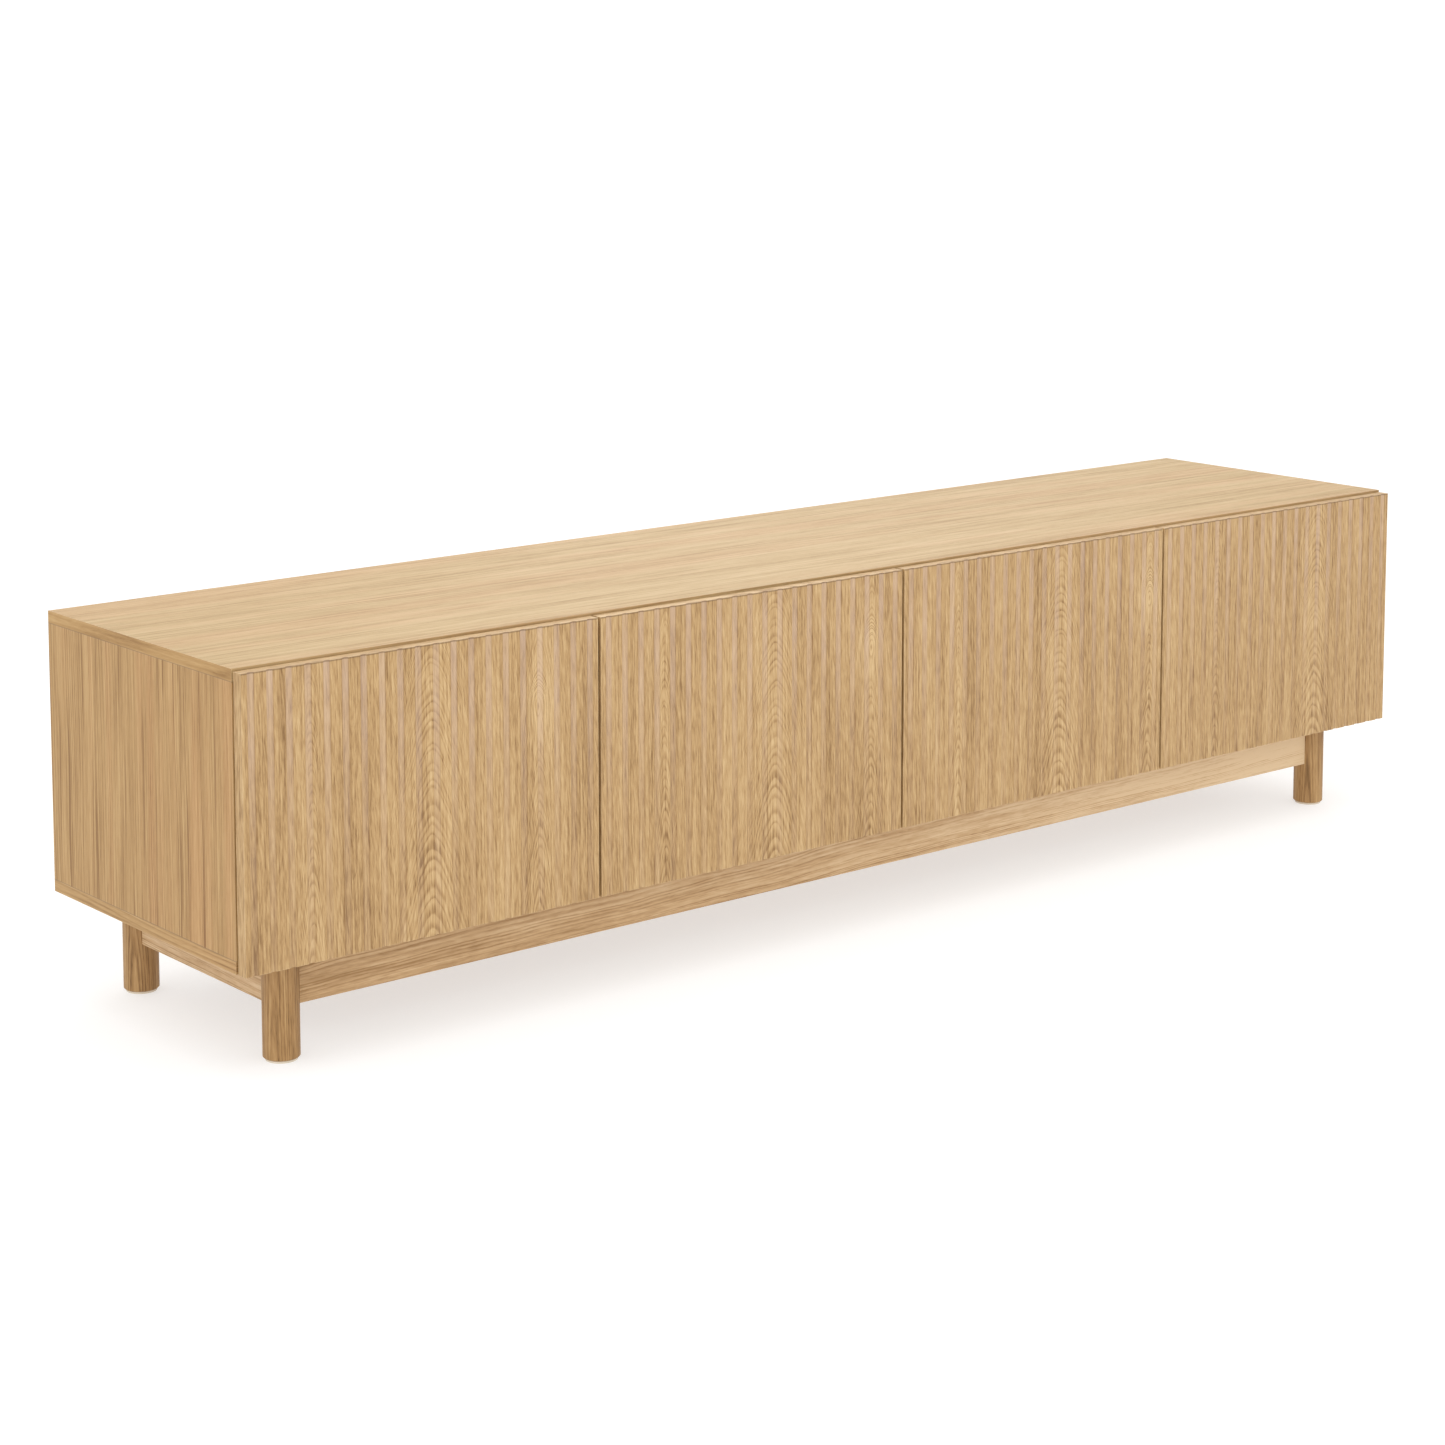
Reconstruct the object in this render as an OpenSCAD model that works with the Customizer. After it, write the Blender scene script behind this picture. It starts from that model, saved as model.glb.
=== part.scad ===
// Low media cabinet with four fluted push-to-open doors on a round-legged base frame.
// The origin is on the floor under the middle of the cabinet: X runs along its length,
// -Y is the front with the doors, and Z is up.

/* [Cabinet] */
// Overall width
cabinet_w = 2000; // [1700:10:2300]
// Depth of the carcass without the doors
carcass_d = 432; // [380:1:500]
// Overall height from the floor to the top surface
cabinet_h = 480; // [440:5:600]
// Height of the carcass underside above the floor
base_h = 130; // [110:5:180]
// Thickness of the carcass boards and shelves
board_t = 15; // [15:1:18]

/* [Doors] */
// Thickness of a door
door_t = 16; // [16:1:20]
// Gap between neighbouring doors
door_gap = 4; // [4:0.5:6]
// Gap between the doors and the carcass
door_clear = 2; // [2:0.5:4]
// Distance of the door tops below the top surface
door_drop = 3; // [2:0.5:6]
// Flutes across one door
flute_count = 20; // [12:1:26]
// Depth of a flute
flute_depth = 2; // [1:0.25:2.5]
// Width of a flute
flute_w = 9; // [6:0.5:12]

/* [Base frame] */
// Diameter of the round legs
leg_d = 44; // [36:1:50]
// Distance of a leg axis from the cabinet's end
leg_inset_x = 88; // [60:1:140]
// Distance of a leg axis from the front and back of the carcass
leg_inset_y = 52; // [45:1:80]
// Height of the apron and the rails
rail_h = 66; // [50:1:80]
// Thickness of the apron and the rails
rail_t = 18; // [16:1:24]
// Thickness of the glides under the legs
glide_t = 3; // [2:0.5:5]

/* [Inside] */
// Height of the shelf undersides above the floor
shelf_z = 297; // [280:1:320]
// Radius of the cable holes in the back
cable_hole_r = 30; // [25:1:35]

/* [Hidden] */
$fn = 48;

// Carcass planes.
front_y = -(carcass_d + door_clear + door_t) / 2 + door_t + door_clear;
back_y = front_y + carcass_d;
end_x = cabinet_w / 2;
inner_z0 = base_h + board_t;
inner_z1 = cabinet_h - board_t;

// Doors: one reveal at each end, three gaps between them.
door_reveal = 1;
door_w = (cabinet_w - 2 * door_reveal - 3 * door_gap) / 4;
door_z1 = cabinet_h - door_drop;
door_back_y = front_y - door_clear;
door_x0 = [for (i = [0:3]) -end_x + door_reveal + i * (door_w + door_gap)];
// +1 where a door hangs on its left edge, -1 where it hangs on its right edge.
door_side = [1, -1, 1, -1];
flute_pitch = door_w / flute_count;
flute_r = (pow(flute_w / 2, 2) + pow(flute_depth, 2)) / (2 * flute_depth);

// Upright boards between the two ends.
partition_x = end_x - door_reveal - door_w - door_gap / 2;
upright_x = [-end_x + board_t / 2, -partition_x, 0, partition_x, end_x - board_t / 2];

// Back panels lie in a rebate along the rear edges.
back_t = 5;
rebate_y = back_y - back_t - 1;
rebate_w = 7;
back_play = 0.5;

// Fasteners of the carcass.
cam_r = 7.5;
cam_depth = 12;
cam_from_end = 24;
cam_y = [front_y + 50, rebate_y - 50];
dowel_y = [front_y + 90, rebate_y - 90];
dowel_r = 4;
fit = 0.1;

// Shelves and their pins.
shelf_y0 = front_y + 40;
shelf_y1 = rebate_y - 8;
pin_r = 2.4;
pin_out = 8;
pin_in = 6.5;
pin_y = [shelf_y0 + 40, shelf_y1 - 60];
pin_pitch = 32;

// Base frame.
leg_x = end_x - leg_inset_x;
leg_y = [front_y + leg_inset_y, back_y - leg_inset_y];
leg_r = leg_d / 2;
rail_z0 = base_h - rail_h;
cross_x = cabinet_w / 6;
cross_h = 42;
rail_dowel_z = [rail_z0 + 17, base_h - 17];
rail_dowel_in = 14;
insert_r = 6;
insert_l = 28;

// Hinges. Their places are given from the door's hinge edge (u) and forward from its back (v).
hinge_end = 70;
hinge_z = [base_h + hinge_end, door_z1 - hinge_end];
cup_r = 17.5;
cup_wall = 1;
cup_depth = 11.5;
cup_u = 3 + cup_r;
arm_u = 33;
arm_v = -4;
link_tip = [7, 7];
link_elbow = [14.4, 9.1];
link_t = 1.4;
link_w = 9;
pin_hinge_r = 1;
plate_t = 3;
plate_v = -37 - door_clear;
screw_spread = 16;

// Push latches under the top, near the free edge of each door.
latch_from_edge = 28;
latch_w = 14;
latch_h = 16;
latch_l = 72;
plunger_r = 4;
plunger_z = inner_z1 - latch_h / 2;
strike_t = 1;

// Colours.
oak = "#d8b583";
oak_light = "#e2c698";
oak_door = "#cfa873";
steel = "#b9bcc0";
plastic = "#e8e4da";

// ---------- helpers ----------

// A box given by its lowest and highest corners.
module block(lo, hi) {
    translate(lo) cube(hi - lo);
}

// Round bars that start at p and run l along one axis; a negative l runs the other way.
module bar_x(p, r, l) {
    translate(p) rotate([0, l > 0 ? 90 : -90, 0]) cylinder(r = r, h = abs(l));
}
module bar_y(p, r, l) {
    translate(p) rotate([l > 0 ? -90 : 90, 0, 0]) cylinder(r = r, h = abs(l));
}
module bar_z(p, r, l) {
    translate(p) rotate([l > 0 ? 0 : 180, 0, 0]) cylinder(r = r, h = abs(l));
}

// A straight strip of the hinge link between two points, seen from above.
module strip(p, q, t) {
    d = q - p;
    translate(p) rotate(atan2(d[1], d[0])) translate([0, -t / 2]) square([norm(d), t]);
}

// The clear faces of compartment i, left and right.
function bay_x0(i) = upright_x[i] + board_t / 2;
function bay_x1(i) = upright_x[i + 1] - board_t / 2;

// The hinge edge of door i, and its upright's face measured from that edge.
function hinge_x(i) = door_side[i] > 0 ? door_x0[i] : door_x0[i] + door_w;
function face_u(i) = (i == 0 || i == 3) ? board_t - door_reveal : board_t / 2 - door_gap / 2;
function latch_x(i) = hinge_x(i) + door_side[i] * (door_w - latch_from_edge);

// Draws its children in the frame of the hinges of door i: X is u, Y is v, Z is along the edge.
module at_hinges(i) {
    for (z = hinge_z)
        translate([hinge_x(i), door_back_y, z])
            mirror([0, 1, 0])
                mirror([door_side[i] > 0 ? 0 : 1, 0, 0])
                    children();
}

// ---------- carcass ----------

// The holes that the ends of the uprights' fasteners need in the panel above or below them.
module panel_fixing_bores(z, up) {
    for (x = upright_x) {
        for (y = cam_y) bar_z([x, y, z], 2.5 + fit, up * 10);
        for (y = dowel_y) bar_z([x, y, z], dowel_r + fit, up * 10);
    }
}

module top_panel() {
    color(oak_light) difference() {
        block([-end_x, front_y, inner_z1], [end_x, back_y, cabinet_h]);
        block([-end_x + rebate_w, rebate_y, inner_z1 - 1], [end_x - rebate_w, back_y + 1, inner_z1 + rebate_w]);
        panel_fixing_bores(inner_z1, 1);
    }
}

module bottom_panel() {
    bolt_head_z = inner_z0 - 4;
    color(oak) difference() {
        block([-end_x, front_y + 1, base_h], [end_x, back_y, inner_z0]);
        block([-end_x + rebate_w, rebate_y, inner_z0 - rebate_w], [end_x - rebate_w, back_y + 1, inner_z0 + 1]);
        panel_fixing_bores(inner_z0, -1);
        for (x = [-leg_x, leg_x], y = leg_y) {
            bar_z([x, y, inner_z0 + 1], 4 + fit, -board_t - 2);
            bar_z([x, y, bolt_head_z], 8 + fit, 5);
        }
        rail_screw_places() {
            bar_z([0, 0, inner_z0 + 1], 2.2 + fit, -board_t - 2);
            bar_z([0, 0, inner_z0 - 2.5], 4 + fit, 4);
        }
    }
}

// Pockets and bores of one upright: cams open on the side that inward points to.
module upright_fixing_bores(x, inward) {
    for (y = cam_y, top = [0, 1]) {
        z = top ? inner_z1 : inner_z0;
        away = top ? -1 : 1;
        bar_x([x + inward * board_t / 2, y, z + away * cam_from_end], cam_r + fit, -inward * cam_depth);
        bar_z([x, y, z], 3.5, away * cam_from_end);
    }
    for (y = dowel_y, top = [0, 1])
        bar_z([x, y, top ? inner_z1 : inner_z0], dowel_r + fit, (top ? -1 : 1) * 21);
}

// Rows of shelf pin holes in the face that looks towards +X (side 1) or -X (side -1).
module pin_holes(x, side) {
    for (y = pin_y, step = [-1:1])
        bar_x([x + side * board_t / 2, y, shelf_z - pin_r + step * pin_pitch], pin_r + fit, -side * 7);
}

module upright(i, y1) {
    x = upright_x[i];
    difference() {
        block([x - board_t / 2, front_y, inner_z0], [x + board_t / 2, y1, inner_z1]);
        upright_fixing_bores(x, i < 3 ? 1 : -1);
        if (i < 4) pin_holes(x, 1);
        if (i > 0) pin_holes(x, -1);
    }
}

module side_panel(i) {
    inner = i == 0 ? 1 : -1;
    x = upright_x[i];
    rebate_x = x + inner * (board_t / 2 - rebate_w / 2);
    color(oak) difference() {
        upright(i, back_y);
        translate([rebate_x, rebate_y + 5, cabinet_h / 2])
            cube([rebate_w + 0.02, 10, cabinet_h], center = true);
    }
}
module side_panel_left() { side_panel(0); }
module side_panel_right() { side_panel(4); }
module centre_divider() { color(oak) upright(2, rebate_y); }
module partition_left() { color(oak) upright(1, rebate_y); }
module partition_right() { color(oak) upright(3, rebate_y); }

// ---------- back ----------

cable_z = 225;
back_screw_z = [200, 300, 420];

function cable_x(i) = (bay_x0(i) + bay_x1(i)) / 2;

// Draws its children where the back panels are screwed on; the middle joint is screwed on both sides.
module back_screw_places() {
    end_screw_x = end_x - board_t + rebate_w / 2;
    joint_screw_x = board_t / 4;
    for (x = [joint_screw_x, partition_x, end_screw_x], side = [-1, 1], z = back_screw_z)
        translate([side * x, 0, z]) children();
}

module back_panel(side) {
    x0 = side < 0 ? -end_x + board_t - rebate_w + back_play : back_play;
    x1 = side < 0 ? -back_play : end_x - board_t + rebate_w - back_play;
    z0 = inner_z0 - rebate_w + back_play;
    z1 = inner_z1 + rebate_w - back_play;
    color(oak_light) difference() {
        block([x0, rebate_y, z0], [x1, rebate_y + back_t, z1]);
        for (i = side < 0 ? [0, 1] : [2, 3])
            bar_y([cable_x(i), rebate_y - 1, cable_z], cable_hole_r, back_t + 2);
        back_screw_places() bar_y([0, rebate_y - 1, 0], 1.5 + fit, back_t + 2);
    }
}
module back_panel_left() { back_panel(-1); }
module back_panel_right() { back_panel(1); }

module back_panel_screws() {
    color(steel) back_screw_places() {
        bar_y([0, rebate_y + back_t, 0], 1.5, -back_t);
        bar_y([0, rebate_y + back_t, 0], 3, 0.8);
    }
}

module cable_grommets() {
    color(plastic) for (i = [0:3])
        difference() {
            union() {
                bar_y([cable_x(i), rebate_y - 2, cable_z], cable_hole_r + 4, 2);
                bar_y([cable_x(i), rebate_y - 2, cable_z], cable_hole_r - fit, back_t + 2.5);
            }
            bar_y([cable_x(i), rebate_y - 3, cable_z], cable_hole_r - 2.5, back_t + 5);
        }
}

// ---------- shelves ----------

module shelf(i) {
    color(oak) block([bay_x0(i) + 1, shelf_y0, shelf_z], [bay_x1(i) - 1, shelf_y1, shelf_z + board_t]);
}
module shelf_1() { shelf(0); }
module shelf_2() { shelf(1); }
module shelf_3() { shelf(2); }
module shelf_4() { shelf(3); }

module shelf_pins() {
    color(steel) for (i = [0:3], y = pin_y) {
        bar_x([bay_x0(i) - pin_in, y, shelf_z - pin_r], pin_r, pin_in + pin_out);
        bar_x([bay_x1(i) + pin_in, y, shelf_z - pin_r], pin_r, -pin_in - pin_out);
    }
}

// ---------- carcass fasteners ----------

module cam_locks() {
    color(steel) for (i = [0:4], y = cam_y, top = [0, 1]) {
        inward = i < 3 ? 1 : -1;
        z = top ? inner_z1 - cam_from_end : inner_z0 + cam_from_end;
        difference() {
            bar_x([upright_x[i] + inward * board_t / 2, y, z], cam_r, -inward * (cam_depth - 0.3));
            translate([upright_x[i] + inward * board_t / 2, y, z]) cube([3, 1.6, 8], center = true);
            translate([upright_x[i] + inward * board_t / 2, y, z]) cube([3, 8, 1.6], center = true);
        }
    }
}

module cam_bolts() {
    color(steel) for (x = upright_x, y = cam_y, top = [0, 1]) {
        z = top ? inner_z1 : inner_z0;
        away = top ? -1 : 1;
        bar_z([x, y, z - away * 9.5], 2.5, away * 9.5);
        bar_z([x, y, z], 3, away * (cam_from_end - cam_r - 0.5));
    }
}

module carcass_dowels() {
    color(oak_light) for (x = upright_x, y = dowel_y, top = [0, 1]) {
        z = top ? inner_z1 : inner_z0;
        away = top ? -1 : 1;
        bar_z([x, y, z - away * 9.5], dowel_r, away * 30);
    }
}

// ---------- base frame ----------

// Dowels between the rails and the legs, or the bores for them with some extra radius.
module rail_dowel_shapes(extra) {
    for (sx = [-1, 1], sy = [0, 1], z = rail_dowel_z) {
        inward_y = sy == 0 ? 1 : -1;
        x = sx * leg_x;
        start = leg_r - rail_dowel_in - extra;
        bar_x([x - sx * start, leg_y[sy], z], dowel_r + extra, -sx * (36 + 2 * extra));
        bar_y([x, leg_y[sy] + inward_y * start, z - 8], dowel_r + extra, inward_y * (36 + 2 * extra));
    }
}

module leg(x, y) {
    chamfer = 1.5;
    color(oak_door) difference() {
        union() {
            bar_z([x, y, glide_t + chamfer], leg_r, base_h - glide_t - chamfer);
            translate([x, y, glide_t]) cylinder(r1 = leg_r - chamfer, r2 = leg_r, h = chamfer);
        }
        bar_z([x, y, base_h + 1], insert_r + fit, -insert_l - 3);
        rail_dowel_shapes(fit);
    }
}
module leg_front_left() { leg(-leg_x, leg_y[0]); }
module leg_front_right() { leg(leg_x, leg_y[0]); }
module leg_rear_left() { leg(-leg_x, leg_y[1]); }
module leg_rear_right() { leg(leg_x, leg_y[1]); }

// Takes the legs' round shapes out of a rail's ends, so that the rail fits against them.
module coped_to_legs() {
    difference() {
        children();
        for (x = [-leg_x, leg_x], y = leg_y) bar_z([x, y, rail_z0 - 1], leg_r + fit, rail_h + 2);
        rail_dowel_shapes(fit);
        rail_screw_places() bar_z([0, 0, base_h + 1], 2.2 + fit, -31);
    }
}

module long_rail(y) {
    color(oak_door) coped_to_legs()
        block([-leg_x, y - rail_t / 2, rail_z0], [leg_x, y + rail_t / 2, base_h]);
}
module front_apron() { long_rail(leg_y[0]); }
module rear_rail() { long_rail(leg_y[1]); }

module side_rail(x) {
    color(oak_door) coped_to_legs()
        block([x - rail_t / 2, leg_y[0], rail_z0], [x + rail_t / 2, leg_y[1], base_h]);
}
module side_rail_left() { side_rail(-leg_x); }
module side_rail_right() { side_rail(leg_x); }

module cross_rail(x) {
    color(oak_door) coped_to_legs()
        block([x - rail_t / 2, leg_y[0] + rail_t / 2, base_h - cross_h],
              [x + rail_t / 2, leg_y[1] - rail_t / 2, base_h]);
}
module cross_rail_left() { cross_rail(-cross_x); }
module cross_rail_right() { cross_rail(cross_x); }

module rail_dowels() {
    color(oak_light) rail_dowel_shapes(0);
}

// Draws its children where screws go down through the bottom panel into the rails.
module rail_screw_places() {
    for (x = [-leg_x + 120, -cross_x / 2, cross_x / 2, leg_x - 120], y = leg_y)
        translate([x, y, 0]) children();
    for (x = [-cross_x, cross_x]) translate([x, (leg_y[0] + leg_y[1]) / 2, 0]) children();
}

module rail_screws() {
    color(steel) rail_screw_places() {
        bar_z([0, 0, inner_z0 - 0.2], 4, -2.3);
        bar_z([0, 0, inner_z0 - 0.2], 2.2, -board_t - 28);
    }
}

module leg_inserts() {
    color(steel) for (x = [-leg_x, leg_x], y = leg_y)
        difference() {
            bar_z([x, y, base_h], insert_r, -insert_l);
            bar_z([x, y, base_h + 1], 4 + fit, -insert_l - 2);
        }
}

module leg_bolts() {
    color(steel) for (x = [-leg_x, leg_x], y = leg_y)
        difference() {
            union() {
                bar_z([x, y, inner_z0 - 0.3], 8, -3.7);
                bar_z([x, y, inner_z0 - 0.3], 4, -board_t - 24);
            }
            translate([x, y, inner_z0 - 2.8]) cylinder(r = 2.9, h = 4, $fn = 6);
        }
}

module leg_glides() {
    color(plastic) for (x = [-leg_x, leg_x], y = leg_y) bar_z([x, y, 0], leg_r - 3, glide_t);
}

// ---------- hinges on the carcass ----------

module hinge_plates() {
    color(steel) for (i = [0:3]) at_hinges(i) {
        u = face_u(i);
        difference() {
            union() {
                block([u, plate_v - 22, -8], [u + plate_t, plate_v + 16, 8]);
                block([u, plate_v - 6, -22], [u + plate_t, plate_v + 6, 22]);
            }
            for (z = [-screw_spread, screw_spread]) bar_x([u - 1, plate_v, z], 2 + fit, plate_t + 2);
        }
    }
}

module hinge_plate_screws() {
    color(steel) for (i = [0:3]) at_hinges(i)
        for (z = [-screw_spread, screw_spread]) bar_x([face_u(i), plate_v, z], 2, plate_t + 1.2);
}

module hinge_arms() {
    cheek = 1.6;
    half = link_w / 2 + 0.4 + cheek;
    color(steel) for (i = [0:3]) at_hinges(i) {
        u = face_u(i) + plate_t;
        difference() {
            translate([0, 0, -half]) linear_extrude(2 * half) {
                polygon([
                    [u, plate_v - 20], [u + 6, plate_v - 20], [u + 6, plate_v + 6],
                    [arm_u + 3, arm_v - 8], [arm_u + 3.5, arm_v], [arm_u - 3.5, arm_v],
                    [arm_u - 6, arm_v - 6], [u, plate_v + 14]
                ]);
                translate([arm_u, arm_v]) circle(r = 3.5);
            }
            block([arm_u - 12, arm_v - 6, -half + cheek], [arm_u + 12, arm_v + 6, half - cheek]);
            bar_z([arm_u, arm_v, -half - 1], pin_hinge_r + fit, 2 * half + 2);
        }
    }
}

module hinge_pins() {
    color(steel) for (i = [0:3]) at_hinges(i) bar_z([arm_u, arm_v, -6.5], pin_hinge_r, 13);
}

// ---------- doors ----------

module door(i) {
    x0 = door_x0[i];
    front = door_back_y - door_t;
    color(oak_door) difference() {
        block([x0, front, base_h], [x0 + door_w, door_back_y, door_z1]);
        for (k = [0:flute_count - 1])
            bar_z([x0 + (k + 0.5) * flute_pitch, front + flute_depth - flute_r, base_h - 1],
                  flute_r, door_z1 - base_h + 2);
        at_hinges(i) bar_y([cup_u, -1, 0], cup_r + fit, cup_depth + 1);
    }
}
module door_1() { door(0); }
module door_2() { door(1); }
module door_3() { door(2); }
module door_4() { door(3); }

module hinge_cups(i) {
    flange_t = 0.8;
    color(steel) at_hinges(i)
        difference() {
            union() {
                bar_y([cup_u, -flange_t, 0], cup_r + 0.8, flange_t);
                bar_y([cup_u, 0, 0], cup_r, cup_depth - fit);
                block([cup_u - 9, -flange_t, -30], [cup_u + 9, 0, 30]);
            }
            bar_y([cup_u, -flange_t - 1, 0], cup_r - cup_wall, cup_depth - cup_wall + 1 + flange_t);
            for (z = [-24, 24]) bar_y([cup_u, -flange_t - 1, z], 2, flange_t + 2);
        }
}
module door_1_hinge_cups() { hinge_cups(0); }
module door_2_hinge_cups() { hinge_cups(1); }
module door_3_hinge_cups() { hinge_cups(2); }
module door_4_hinge_cups() { hinge_cups(3); }

// The cranked links that carry a door: each turns on its arm and reaches round the door's edge.
module hinge_links(i) {
    eye_r = 1.9;
    color(steel) at_hinges(i)
        translate([0, 0, -link_w / 2]) linear_extrude(link_w) difference() {
            union() {
                strip([arm_u, arm_v], link_elbow, link_t);
                strip(link_elbow, link_tip, link_t);
                translate(link_elbow) circle(d = link_t);
                translate(link_tip) circle(d = link_t + 0.4);
                translate([arm_u, arm_v]) circle(r = eye_r);
            }
            translate([arm_u, arm_v]) circle(r = pin_hinge_r + 0.3);
        }
}
module door_1_hinge_links() { hinge_links(0); }
module door_2_hinge_links() { hinge_links(1); }
module door_3_hinge_links() { hinge_links(2); }
module door_4_hinge_links() { hinge_links(3); }

// ---------- push latches ----------

module latch_housings() {
    color(plastic) for (i = [0:3]) {
        x = latch_x(i);
        difference() {
            block([x - latch_w / 2, front_y + 2, inner_z1 - latch_h], [x + latch_w / 2, front_y + latch_l, inner_z1]);
            bar_y([x, front_y + 1, plunger_z], plunger_r + 0.3, latch_l - 8);
        }
    }
}

module latch_plunger(i) {
    tip_y = door_back_y + strike_t + 0.4;
    color(plastic) union() {
        bar_y([latch_x(i), tip_y, plunger_z], plunger_r, 50);
        bar_y([latch_x(i), tip_y, plunger_z], plunger_r + 1, 1.8);
    }
}
module latch_1_plunger() { latch_plunger(0); }
module latch_2_plunger() { latch_plunger(1); }
module latch_3_plunger() { latch_plunger(2); }
module latch_4_plunger() { latch_plunger(3); }

module strike_plate(i) {
    color(steel) bar_y([latch_x(i), door_back_y, plunger_z], 7.5, strike_t);
}
module door_1_strike_plate() { strike_plate(0); }
module door_2_strike_plate() { strike_plate(1); }
module door_3_strike_plate() { strike_plate(2); }
module door_4_strike_plate() { strike_plate(3); }

module door_bumpers() {
    color(plastic) for (i = [0:3], z = [inner_z1 + 6, base_h + 7]) {
        x = hinge_x(i) + door_side[i] * (door_w - 60);
        bar_y([x, front_y + (z < cabinet_h / 2 ? 1 : 0), z], 4, z < cabinet_h / 2 ? -2.6 : -1.6);
    }
}

top_panel();
bottom_panel();
side_panel_left();
side_panel_right();
centre_divider();
partition_left();
partition_right();
back_panel_left();
back_panel_right();
back_panel_screws();
cable_grommets();
shelf_1();
shelf_2();
shelf_3();
shelf_4();
shelf_pins();
cam_locks();
cam_bolts();
carcass_dowels();
front_apron();
rear_rail();
side_rail_left();
side_rail_right();
cross_rail_left();
cross_rail_right();
leg_front_left();
leg_front_right();
leg_rear_left();
leg_rear_right();
rail_dowels();
rail_screws();
leg_inserts();
leg_bolts();
leg_glides();
hinge_plates();
hinge_plate_screws();
hinge_arms();
hinge_pins();
latch_housings();
door_bumpers();
door_1();
door_2();
door_3();
door_4();
door_1_hinge_cups();
door_2_hinge_cups();
door_3_hinge_cups();
door_4_hinge_cups();
door_1_hinge_links();
door_2_hinge_links();
door_3_hinge_links();
door_4_hinge_links();
door_1_strike_plate();
door_2_strike_plate();
door_3_strike_plate();
door_4_strike_plate();
latch_1_plunger();
latch_2_plunger();
latch_3_plunger();
latch_4_plunger();
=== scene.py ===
"""Looks of the low four-door media cabinet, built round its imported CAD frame."""

import math

import bpy
from mathutils import Euler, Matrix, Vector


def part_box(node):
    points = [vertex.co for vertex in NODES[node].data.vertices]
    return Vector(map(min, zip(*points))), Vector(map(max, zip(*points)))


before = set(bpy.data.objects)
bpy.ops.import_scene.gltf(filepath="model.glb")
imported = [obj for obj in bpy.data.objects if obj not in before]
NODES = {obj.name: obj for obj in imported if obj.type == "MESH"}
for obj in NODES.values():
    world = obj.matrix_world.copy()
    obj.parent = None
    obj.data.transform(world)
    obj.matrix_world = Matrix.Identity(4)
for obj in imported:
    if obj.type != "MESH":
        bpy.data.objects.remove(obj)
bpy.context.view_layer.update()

MM = 0.001

# ---------------------------------------------------------------- colours
# In sRGB from 0 to 255. As they look in even light, save where a comment says light or shade is painted
# into them.

DOOR_DARK = (130, 96, 56)
DOOR_MID = (178, 143, 96)
DOOR_LIGHT = (204, 173, 126)
# painted sheen in the doors' flutes: the light their flanks catch
FLUTE_SHEEN = (200, 174, 154)
# painted highlight on the arrises and on the doors' top edges
HIGHLIGHT_PALE = (222, 198, 160)

BOARD_DARK = (138, 102, 58)
BOARD_MID = (172, 135, 84)
BOARD_LIGHT = (196, 162, 110)
BOARD_WARM = (254, 246, 244)    # what the redder zones of a board multiply its colour by

# The top panel's colours are paler and greyer than the boards': in part a painted sheen, the light the
# top catches from above.
TOP_DARK = (150, 119, 75)
TOP_MID = (183, 155, 110)
TOP_LIGHT = (200, 174, 130)

SOLID_DARK = (114, 82, 44)
SOLID_MID = (162, 124, 77)
SOLID_LIGHT = (192, 156, 106)
# the darker lines where boards meet, and the painted shadow under a door's top edge
SEAM_AND_SHADOW_BROWN = (96, 68, 40)

RAIL_DARK = (156, 120, 77)
RAIL_MID = (194, 159, 116)
RAIL_LIGHT = (218, 190, 151)

BACK_DARK = (186, 160, 124)
BACK_LIGHT = (214, 190, 154)
BEECH_DARK = (196, 160, 122)
BEECH_LIGHT = (222, 190, 152)
PLASTIC_PALE = (226, 216, 198)
PLASTIC_SHADE = (212, 200, 180)
RUBBER_PALE = (206, 208, 206)
NICKEL_BRIGHT = (206, 204, 198)
NICKEL_DULL = (176, 174, 168)
ZINC_BRIGHT = (196, 200, 206)
ZINC_DULL = (150, 156, 164)
FLOOR_PAINT = (178, 178, 177)   # the lights and the floor's own glow bring it to near white

# ---------------------------------------------------------------- oak: how the growth rings lie

RING = 2.4 * MM            # growth in a year, in the boards and the solid wood
DOOR_RING = 1.9 * MM       # and in the doors' veneer
FIBRE_STAGGER = 3.7        # how far along the grain a streak starts after the one beside it
FIBRE_ROUGHNESS = 0.6

# Marks of the fibres: their cycles per metre along the grain and across it.
STREAKS_ALONG = 7.0        # the long streaks; how many lie across differs from wood to wood
FLECKS = (48.0, 400.0)     # short ones
BANDS = (1.6, 34.0)        # broad ones, lighter and darker
PORES = (75.0, 1150.0)     # open pores, as short dashes
STRANDS = (2.6, 105.0)     # the dark strands of the boards
WARM_ZONES = (0.8, 17.0)   # and their redder zones

# How much they move the tone of the wood.
STREAK_WEIGHT = 0.95
BAND_WEIGHT = 0.6
PORE_WEIGHT = -0.2
RING_MEAN = 0.72           # about the mean tone of the rings, taken off so that they don't shift it
BOARD_STRAND = 0.5         # how much the dark strands take off, in a plain board
TOP_STRAND = 0.16          # and in the top panel,
TOP_DRIFT = 0.8            # whose grain also drifts more slowly

# Four kinds of oak, as (weight of the rings, weight of the flecks, streaks in a metre).
DOOR_WOOD = (0.36, 1.2, 330.0)
BOARD_WOOD = (0.42, 0.45, 190.0)
TOP_WOOD = (0.3, 0.45, 190.0)
SOLID_WOOD = (0.4, 0.6, 170.0)
# Where the dark, middle and light colours lie along the tone.
STRONG_STOPS = (0.08, 0.5, 0.92)
CALM_STOPS = (0.02, 0.5, 0.98)

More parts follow.
